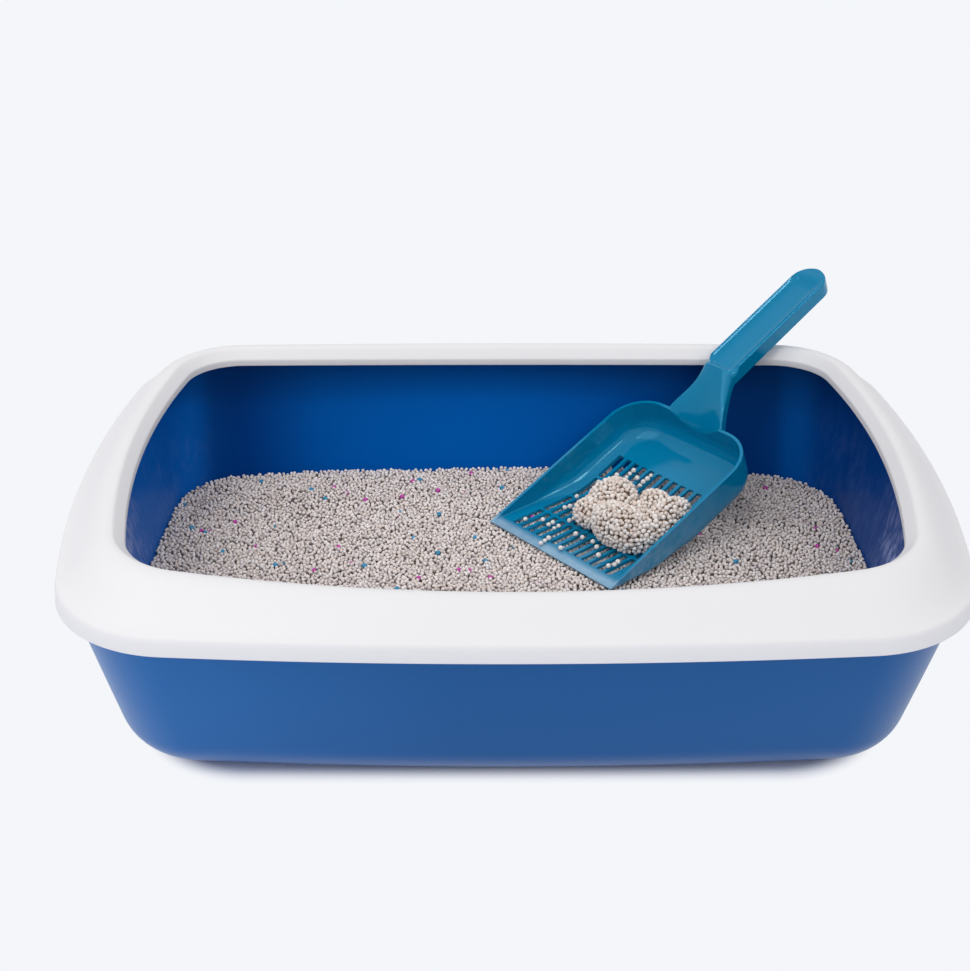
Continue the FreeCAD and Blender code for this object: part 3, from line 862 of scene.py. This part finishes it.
def grip_solid():
    """The neck and handle."""
    round_end = TAIL - HANDLE_HALF
    places = [NECK_START + FOOT_REACH * share**2 for share in np.linspace(0, 1, 14)]
    for start, stop, count in (
        (NECK_START + FOOT_REACH, THROAT, 26),
        (THROAT, THROAT + COLLAR_RUN, 22),
        (THROAT + COLLAR_RUN, round_end, 26),
    ):
        places += list(np.linspace(start, stop, count)[1:])
    turns = np.linspace(0, math.pi / 2 * TAIL_TURN, 14)[1:]
    places += [TAIL - HANDLE_HALF * (1 - math.sin(turn)) for turn in turns]
    points = [point for x in places for point in grip_section(x)]
    around = len(points) // len(places)
    faces = hoops(0, len(places), around)
    faces += [cap(0, around)[::-1], cap(len(points) - around, around)]
    return add_object("grip", mesh_from("grip", points, faces))


def trough_cut():
    """Cuts the pan's back wall open where the neck's face runs down into the pan."""
    half = neck_half(PAN_LENGTH)
    asides = np.linspace(-1, 1, 21)[1:-1]
    outline = [(aside * half, grip_top(NECK_START, abs(aside)) - 0.02) for aside in asides]
    outline += [(half * 0.99, 5), (-half * 0.99, 5)]
    around = len(outline)
    points = [(x, y, z) for x in (NECK_START - 3, PAN_LENGTH + 0.1) for y, z in outline]
    faces = [cap(0, around), cap(around, around)[::-1]] + hoops(0, 2, around)
    return add_object("trough_cut", mesh_from("trough_cut", points, faces))


def slot_cut():
    """All the slots as one cutter."""
    points, faces = [], []
    for across in range(SLOTS_ACROSS):
        middle = SLOT_PITCH * (across - (SLOTS_ACROSS - 1) / 2)
        low, high = middle - SLOT_WIDTH / 2, middle + SLOT_WIDTH / 2
        low_in, high_in = low + SLOT_CORNER, high - SLOT_CORNER
        for row in range(SLOT_ROWS):
            start = SLOT_START + ROW_PITCH * row
            stop = start + SLOT_LENGTH
            start_in, stop_in = start + SLOT_CORNER, stop - SLOT_CORNER
            outline = [(start_in, low), (stop_in, low), (stop, low_in), (stop, high_in),
                       (stop_in, high), (start_in, high), (start, high_in), (start, low_in)]
            first, around = len(points), len(outline)
            points += [(x, y, z) for z in (-PAN_DEPTH - 5, 2.0) for x, y in outline]
            faces += [cap(first, around)[::-1], cap(first + around, around)]
            faces += hoops(first, 2, around)
    return add_object("slot_cut", mesh_from("slot_cut", points, faces))


def combine(piece, other, operation):
    """Joins the other solid to the piece or cuts it away, and removes it."""
    work = piece.modifiers.new("combine", "BOOLEAN")
    work.operation = operation
    work.solver = "EXACT"
    work.object = other
    apply_modifiers(piece)
    bpy.data.objects.remove(other)


def apply_modifiers(piece):
    """Turns the piece's modifiers into its mesh."""
    graph = bpy.context.evaluated_depsgraph_get()
    mesh = bpy.data.meshes.new_from_object(piece.evaluated_get(graph), depsgraph=graph)
    piece.modifiers.clear()
    piece.data = mesh


def make_scoop(material):
    piece = pan_solid()
    combine(piece, trough_cut(), "DIFFERENCE")
    combine(piece, grip_solid(), "UNION")
    combine(piece, slot_cut(), "DIFFERENCE")
    soften = piece.modifiers.new("soften", "BEVEL")
    soften.width = SCOOP_BEVEL
    soften.segments = 2
    soften.limit_method = "ANGLE"
    soften.angle_limit = BEVEL_ANGLE
    apply_modifiers(piece)
    piece.name = "scoop_moulding"
    piece.data.transform(SCOOP_PLACE)
    dress(piece, material, "scoop")
    piece.data.set_sharp_from_angle(angle=SHARP_ANGLE)
    even = piece.modifiers.new("even_shading", "WEIGHTED_NORMAL")
    even.keep_sharp = True
    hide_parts("scoop")


# ---- what the scoop carries

CLUMP_LENGTH = 60
CLUMP_WIDTH = 74
CLUMP_HEIGHT = 27
CLUMP_PLACE = 58
CLUMP_ASIDE = 12
LOBE_MIDDLE = 0.35
STUCK_DEPTHS = (0.0, 2.0)
STUCK_TOUCH = 0.84
STUCK_CELL = 3.6
STUCK_TRIES = 12
STUCK_RADII = (1.05, 1.9, 1.4)
STUCK_DEEP = 0.97
CORE_SKIN = 2.6
CORE_LIFT = 0.4
CORE_VOXEL = 0.9
STRAY_TRIES = 30
STRAY_RADII = (1.25, 1.75)
STRAY_WANDER = 0.9
PAIR_CHANCE = 0.35
PAIR_GAP = 3.5
# each lobe's place along and across the clump, then its length, width and height, all as shares
LOBES = [
    (0.05, 0.26, 0.62, 0.44, 0.92),
    (-0.24, -0.12, 0.50, 0.66, 1.00),
    (0.12, -0.32, 0.72, 0.34, 0.95),
    (0.32, -0.06, 0.30, 0.34, 0.52),
    (-0.25, 0.25, 0.36, 0.36, 0.56),
    (0.06, -0.02, 0.36, 0.26, 0.42),
]


def lobes():
    """Each lobe of the clump as a centre and half sizes, in the scoop's own frame."""
    out = []
    for along, across, long_share, wide_share, high_share in LOBES:
        x = CLUMP_PLACE + along * CLUMP_LENGTH
        middle = pan_floor(x, True) + LOBE_MIDDLE * CLUMP_HEIGHT
        centre = np.array([x, across * CLUMP_WIDTH - CLUMP_ASIDE, middle])
        halves = np.array([
            long_share * CLUMP_LENGTH / 2,
            wide_share * CLUMP_WIDTH / 2,
            high_share * CLUMP_HEIGHT * (1 - LOBE_MIDDLE),
        ])
        out.append((centre, halves))
    return out


def clump_grains(seed):
    """Grains all over the lobes, outer ones first, none inside a lobe, a grain or the floor."""
    dice = random.Random(seed)
    made = lobes()
    places = {}
    kept = []
    for depth in STUCK_DEPTHS:
        for at, (centre, halves) in enumerate(made):
            for _ in range(int(STUCK_TRIES * halves.prod() ** (2 / 3))):
                way = np.array([dice.gauss(0, 1) for _ in range(3)])
                way /= np.linalg.norm(way)
                radius = dice.triangular(*STUCK_RADII)
                spot = centre + way * (halves - radius - depth)
                if spot[2] < pan_floor(spot[0], True) + radius:
                    continue
                if any((((spot - other) / (sides - radius - depth)) ** 2).sum() < STUCK_DEEP
                       for which, (other, sides) in enumerate(made) if which != at):
                    continue
                home = [int(value // STUCK_CELL) for value in spot]
                near = [
                    grain
                    for i in (-1, 0, 1) for j in (-1, 0, 1) for k in (-1, 0, 1)
                    for grain in places.get((home[0] + i, home[1] + j, home[2] + k), ())
                ]
                if any(math.dist(spot, grain[:3]) < STUCK_TOUCH * (radius + grain[3])
                       for grain in near):
                    continue
                grain = (*spot, radius)
                places.setdefault(tuple(home), []).append(grain)
                kept.append(grain)
    return kept


def clump_core(material):
    """The dark middle that shows between the clump's grains, painted dark as the shade between
    them.
    """
    work = bmesh.new()
    for centre, halves in lobes():
        made = bmesh.ops.create_icosphere(work, subdivisions=4, radius=1.0)
        for vertex in made["verts"]:
            x, y, z = centre + np.array(vertex.co) * (halves - CORE_SKIN)
            vertex.co = (x, y, max(z, pan_floor(x, True) + CORE_LIFT))
    mesh = bpy.data.meshes.new("clump_core")
    work.to_mesh(mesh)
    work.free()
    piece = add_object("clump_core", mesh)
    remesh = piece.modifiers.new("remesh", "REMESH")
    remesh.mode = "VOXEL"
    remesh.voxel_size = CORE_VOXEL
    apply_modifiers(piece)
    piece.data.transform(SCOOP_PLACE)
    dress(piece, material, "scoop")
    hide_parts("litter_clump")


def to_world(grains):
    """Grains from the scoop's own frame to the world, in metres."""
    centres = [tuple(SCOOP_PLACE @ Vector(grain[:3])) for grain in grains]
    return centres, [grain[3] * MM for grain in grains]


def stray_grains(seed, count):
    """Loose grains left on the bars of the pan."""
    dice = random.Random(seed)
    made = lobes()
    out = []
    for _ in range(count * STRAY_TRIES):
        if len(out) >= count:
            break
        x = SLOT_START - 2 + dice.random() ** 1.1 * (ROW_PITCH * SLOT_ROWS - 3)
        bar = dice.randrange(SLOTS_ACROSS - 1)
        if out and dice.random() < PAIR_CHANCE:
            x = out[-1][0] + dice.choice((-1, 1)) * PAIR_GAP
            bar = round(out[-1][1] / SLOT_PITCH + (SLOTS_ACROSS - 2) / 2)
        y = SLOT_PITCH * (bar - (SLOTS_ACROSS - 2) / 2) + dice.uniform(-STRAY_WANDER, STRAY_WANDER)
        radius = dice.uniform(*STRAY_RADII)
        z = pan_floor(x, True) + radius * 1.04
        spot = np.array([x, y, z])
        if any((((spot - centre) / (halves + 2.0)) ** 2).sum() < 1 for centre, halves in made):
            continue
        if any(math.dist(spot, other[:3]) < radius + other[3] for other in out):
            continue
        out.append((x, y, z, radius))
    return out


# ---- materials

# how far along the tub, from its left end to its right, and how much painted light the inside gets
# there, 0 being painted shade
INSIDE_PAINTED_LIGHT = [
    (0.0, 1.0), (0.05, 0.85), (0.068, 1.0), (0.084, 1.0), (0.105, 0.0), (0.17, 0.0), (0.25, 0.6),
    (0.42, 0.72), (0.6, 0.66), (0.79, 0.1), (0.862, 0.1), (0.88, 0.7), (0.9, 0.7), (0.92, 0.1),
]
DUST = 1.5
SCUFF = 0.95


def rim_plastic():
    return plastic(
        "rim_plastic", "matt white moulded plastic",
        srgb(228, 227, 228), srgb(234, 233, 234), scale=1400, roughness=0.42, spread=0.12,
        bump=0.03, Specular_IOR_Level=0.3,
    )[0]


def tub_plastic():
    material, tree, shader, tint = plastic(
        "tub_plastic", "smooth blue moulded plastic, satin outside, glossier and dusty inside",
        srgb(0, 82, 170), srgb(0, 88, 179), scale=1200, roughness=0.29, spread=0.08, bump=0.02,
        Specular_Tint=(0.12, 0.5, 1.0, 1.0),
    )
    along, across, up = axes_of(tree, spot_on_piece(tree))
    facing = axes_of(tree, node(tree, "ShaderNodeNewGeometry").outputs["Normal"])
    inner = ramp(tree, facing["Z"], -0.05, 0.1)
    # painted light and shade: along the tub the inside is painted darker where shade falls towards
    # its corners and right end, and lighter where light falls on its left end and along its middle
    painted_light_ramp = set_inputs(node(tree, "ShaderNodeValToRGB"), Fac=ramp(tree, along, -0.25, 0.25))
    stops = painted_light_ramp.color_ramp
    stops.interpolation = "B_SPLINE"
    while len(stops.elements) < len(INSIDE_PAINTED_LIGHT):
        stops.elements.new(0.5)
    for stop, (place, light) in zip(stops.elements, INSIDE_PAINTED_LIGHT):
        stop.position = place
        stop.color = (light, light, light, 1)
    bright = mix_colour(tree, 0.5, tint, srgb(0, 108, 196))
    deep = mix_colour(tree, painted_light_ramp.outputs["Color"], srgb(0, 56, 128), bright)
    # dust and fine scuffs on the front half of the end walls, and a few over the litter
    low = ramp(tree, up, 0.075, 0.115, 1.0, 0.0)
    near = ramp(tree, across, -0.03, 0.045, 1.0, 0.06)
    ends = ramp(tree, maths(tree, "ABSOLUTE", along), 0.195, 0.222)
    cloud = ramp(tree, patches(tree, 26, 5, roughness=0.65), 0.42, 0.6, 0.3, 1.0)
    scratch = ramp(tree, patches(tree, 240, 4, stretch=(1, 1, 0.3)), 0.44, 0.6, 0.2, 1.0)
    dust = product(tree, low, near, cloud, scratch, inner, ends, DUST)
    # painted light: the outside is a little paler towards its left end, where more light falls from
    # the left
    painted_left_light = ramp(tree, along, -0.22, -0.03, 1.0, 0.0)
    outside = mix_colour(tree, painted_left_light, srgb(14, 87, 152), srgb(36, 106, 176))
    satin = mix_colour(tree, inner, outside, deep)
    set_inputs(
        shader,
        Base_Color=mix_colour(tree, dust, satin, srgb(150, 164, 214)),
        Specular_IOR_Level=ramp(tree, inner, 0, 1, 0.36, 0.16),
    )
    return material


def scoop_plastic():
    material, tree, shader, tint = plastic(
        "scoop_plastic", "glossy teal plastic, worn pale at its front edge, scuffed on its walls",
        srgb(0, 120, 162), srgb(0, 130, 174), scale=1500, roughness=0.06, spread=0.07, bump=0.002,
        Subsurface_Weight=0.2, Subsurface_Scale=0.003, Subsurface_Radius=(0.3, 0.9, 1.0),
        Specular_Tint=(0.35, 0.8, 1.0, 1.0), Specular_IOR_Level=0.45,
    )
    local = set_inputs(
        node(tree, "ShaderNodeMapping", vector_type="TEXTURE"),
        Location=SCOOP_PLACE.translation, Rotation=SCOOP_PLACE.to_euler(),
        Vector=spot_on_piece(tree),
    )
    along, across, up = axes_of(tree, local.outputs["Vector"])
    cloud = patches(tree, 90, 6, roughness=0.75)
    front = ramp(tree, along, 0.004, 0.0085, 1.0, 0.0)
    band = product(tree, front, ramp(tree, cloud, 0.3, 0.6, 0.65, 1.0))
    wall = ramp(tree, maths(tree, "ABSOLUTE", across), 0.0543, 0.0549)
    forward = ramp(tree, along, 0.01, 0.1, 1.0, 0.0)
    deep = ramp(tree, up, -0.02, -0.001, 1.0, 0.6)
    scuff = product(tree, wall, forward, deep, ramp(tree, cloud, 0.38, 0.6, 0.25, 1.0), SCUFF)
    worn = maths(tree, "MAXIMUM", band, scuff)
    set_inputs(shader, Base_Color=mix_colour(tree, worn, tint, srgb(142, 178, 204)))
    return material


def clay(name, dark, light, scale=700):
    """Dull clay with a cloudy tint and a fine relief."""
    material, tree, shader = new_material(name)
    cloud = patches(tree, scale, 3)
    tint = mix_colour(tree, ramp(tree, cloud, 0.35, 0.65), dark, light)
    set_inputs(shader, Roughness=0.82, Specular_IOR_Level=0.25, Base_Color=tint)
    add_relief(shader, cloud, CLAY_BUMP, CLAY_RELIEF)
    return material


# ---- build the object

make_rim(rim_plastic())
make_tub(tub_plastic())
make_bed(clay("litter_shadow", srgb(96, 86, 82), srgb(132, 122, 118), scale=300))
make_scoop(scoop_plastic())

TONES = [
    ("pale", clay("clay_pale", srgb(238, 230, 226), srgb(248, 241, 237)), 0.30),
    ("warm", clay("clay_warm", srgb(230, 218, 211), srgb(241, 230, 223)), 0.27),
    ("grey", clay("clay_grey", srgb(222, 214, 212), srgb(234, 226, 224)), 0.25),
    ("dull", clay("clay_dull", srgb(208, 197, 192), srgb(224, 213, 208)), 0.18),
]
SPECKS = [
    ("magenta", clay("clay_magenta", srgb(184, 66, 156), srgb(208, 96, 182)), 0.0027),
    ("teal", clay("clay_teal", srgb(52, 136, 176), srgb(84, 162, 200)), 0.0051),
]
SPECK_SWELL = 1.45
MOST_GRAINS = 2450
DROPS = 220000
STRAY_COUNT = 46

dice = random.Random(5)
specks = {tone: [] for tone, _, _ in SPECKS}
plain = []
for grain in settle_grains(11, DROPS):
    pick = dice.random()
    home = next((specks[tone] for tone, _, limit in SPECKS if pick < limit), plain)
    home.append(grain)
dice.shuffle(plain)
start = 0
for tone, material, share in TONES:
    stop = len(plain) if tone == TONES[-1][0] else start + int(share * len(plain))
    group = plain[start:stop]
    start = stop
    for part in range(0, len(group), MOST_GRAINS):
        name = f"litter_{tone}_{part // MOST_GRAINS + 1}"
        grain_piece(name, *in_metres(group[part:part + MOST_GRAINS]), part + 1, material, "tray")
for tone, material, _ in SPECKS:
    grain_piece(f"litter_{tone}", *in_metres(specks[tone], SPECK_SWELL), 3, material, "tray")

# painted shade: the clump's core is dark so that the gaps between its grains read as shade
clump_core(clay("clump_gap_shade", srgb(92, 74, 58), srgb(126, 106, 88), scale=400))
stuck = clump_grains(7)
for name, some, material in (
    ("clump_pale", stuck[::2], clay("stuck_pale", srgb(240, 231, 224), srgb(248, 242, 237))),
    ("clump_warm", stuck[1::2], clay("stuck_warm", srgb(224, 209, 199), srgb(239, 227, 218))),
):
    grain_piece(name, *to_world(some), 21, material, "scoop")
white = clay("clay_white", srgb(232, 227, 222), srgb(244, 240, 236))
stray = grain_piece("stray_grains", *to_world(stray_grains(17, STRAY_COUNT)), 9, white, "scoop")
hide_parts("loose_granules")


# ---- floor, light and camera

BACKDROP = srgb(244, 246, 250)
FLOOR_REACH = 40
FLOOR_DROP = 0.0004
SHADOW_START = -0.0075
SHADOW_REACH = 0.0095
FOOT_CORNER = 0.06
FOOT_HALF = Vector((0.206, 0.126, 0.0))
WORLD_LEVEL = 0.53
KEY_POWER = 10.0
SIDE_LEVEL = 0.34
FILL_LEVEL = 0.47
GLINT_LEVEL = 0.2
SPARK_LEVEL = 0.12
LENS = 61.05
PITCH, YAW, ROLL = 0.4809, 0.00667, 0.00192
CAMERA_PLACE = (-0.02106, -0.85546, 0.55927)


def seen_directly(tree):
    """1 for what the camera sees, straight, in gloss or through glass."""
    path = node(tree, "ShaderNodeLightPath").outputs
    first = maths(tree, "MAXIMUM", path["Is Camera Ray"], path["Is Glossy Ray"])
    return maths(tree, "MAXIMUM", first, path["Is Transmission Ray"])


def footprint_distance(tree):
    """How far a point of the floor lies outside the tub's foot, in metres."""
    kind = "ShaderNodeVectorMath"
    folded = maths(tree, "ABSOLUTE", spot_on_piece(tree), kind=kind)
    straight = FOOT_HALF - Vector((FOOT_CORNER, FOOT_CORNER, 0))
    shifted = maths(tree, "SUBTRACT", folded, straight, kind=kind)
    kept = maths(tree, "MAXIMUM", shifted, (0, 0, 0), kind=kind)
    length = set_inputs(node(tree, kind, operation="LENGTH"), Vector=kept)
    return maths(tree, "SUBTRACT", length.outputs["Value"], FOOT_CORNER)


def blend_shaders(tree, share, first, second, output):
    """Two shaders mixed by a share, into the output node."""
    blend = node(tree, "ShaderNodeMixShader")
    feed(blend.inputs, share, first.outputs[0], second.outputs[0])
    set_inputs(tree.nodes[output], Surface=blend.outputs[0])


def pale_floor():
    """A pale floor that keeps the shadow close to the tub and is plain further out."""
    mesh = bpy.data.meshes.new("floor")
    signs = ((-1, -1), (1, -1), (1, 1), (-1, 1))
    corners = [(x * FLOOR_REACH, y * FLOOR_REACH, 0) for x, y in signs]
    mesh.from_pydata(corners, [], [(0, 1, 2, 3)])
    floor = add_object("floor", mesh)
    floor.location.z = -FLOOR_DROP
    material, tree, shader = new_material("pale_floor")
    # painted light: the floor is a little bluer than the backdrop, a painted tint for the blue
    # light the tub throws into its shadow
    set_inputs(shader, Base_Color=srgb(236, 239, 249), Roughness=0.9, Specular_IOR_Level=0.0)
    glow = set_inputs(node(tree, "ShaderNodeEmission"), Color=BACKDROP)
    outside = footprint_distance(tree)
    away = ramp(tree, outside, SHADOW_START, SHADOW_REACH, interpolation_type="SMOOTHSTEP")
    share = product(tree, away, seen_directly(tree))
    blend_shaders(tree, share, shader, glow, "Material Output")
    mesh.materials.append(material)


def plain_world():
    """An even pale surrounding light behind the backdrop's colour."""
    world = bpy.data.worlds.new("studio")
    bpy.context.scene.world = world
    world.use_nodes = True
    tree = world.node_tree
    seen = set_inputs(tree.nodes["Background"], Color=BACKDROP, Strength=1.0)
    lit = node(tree, "ShaderNodeBackground")
    set_inputs(lit, Color=srgb(252, 252, 255), Strength=WORLD_LEVEL)
    blend_shaders(tree, seen_directly(tree), lit, seen, "World Output")


def lamp(name, kind, towards, energy):
    """A lamp that shines on the tub from one side."""
    data = bpy.data.lights.new(name, kind)
    data.energy = energy
    made = add_object(name, data)
    made.rotation_euler = Vector(towards).to_track_quat("Z", "Y").to_euler()
    return made


def soft_light(name, towards, strength, spread):
    """An even light from one direction, as soft as a disc spread degrees wide."""
    lamp(name, "SUN", towards, strength).data.angle = math.radians(spread)


def softbox(name, place, side, power):
    """A square softbox that looks at the tub."""
    made = lamp(name, "AREA", place, power)
    made.data.size = side
    made.location = place
    made.visible_camera = False


pale_floor()
plain_world()
softbox("key", (-1.0, -0.6, 1.45), 1.4, KEY_POWER)
soft_light("side", (0.62, -0.36, 0.74), SIDE_LEVEL, 12)
soft_light("fill", (0.05, -0.8, 0.9), FILL_LEVEL, 60)
soft_light("glint", (0.1, 0.6, 1.0), GLINT_LEVEL, 5)
soft_light("spark", (-0.25, -0.45, 1.0), SPARK_LEVEL, 3.5)

camera_data = bpy.data.cameras.new("camera")
camera_data.sensor_width = 36
camera_data.lens = LENS
camera = add_object("camera", camera_data)
aim = Matrix.Rotation(-YAW, 4, "Z") @ Matrix.Rotation(math.pi / 2 - PITCH, 4, "X")
camera.matrix_world = Matrix.Translation(CAMERA_PLACE) @ (aim @ Matrix.Rotation(ROLL, 4, "Z"))
bpy.context.scene.camera = camera
bpy.context.scene.view_settings.view_transform = "Standard"
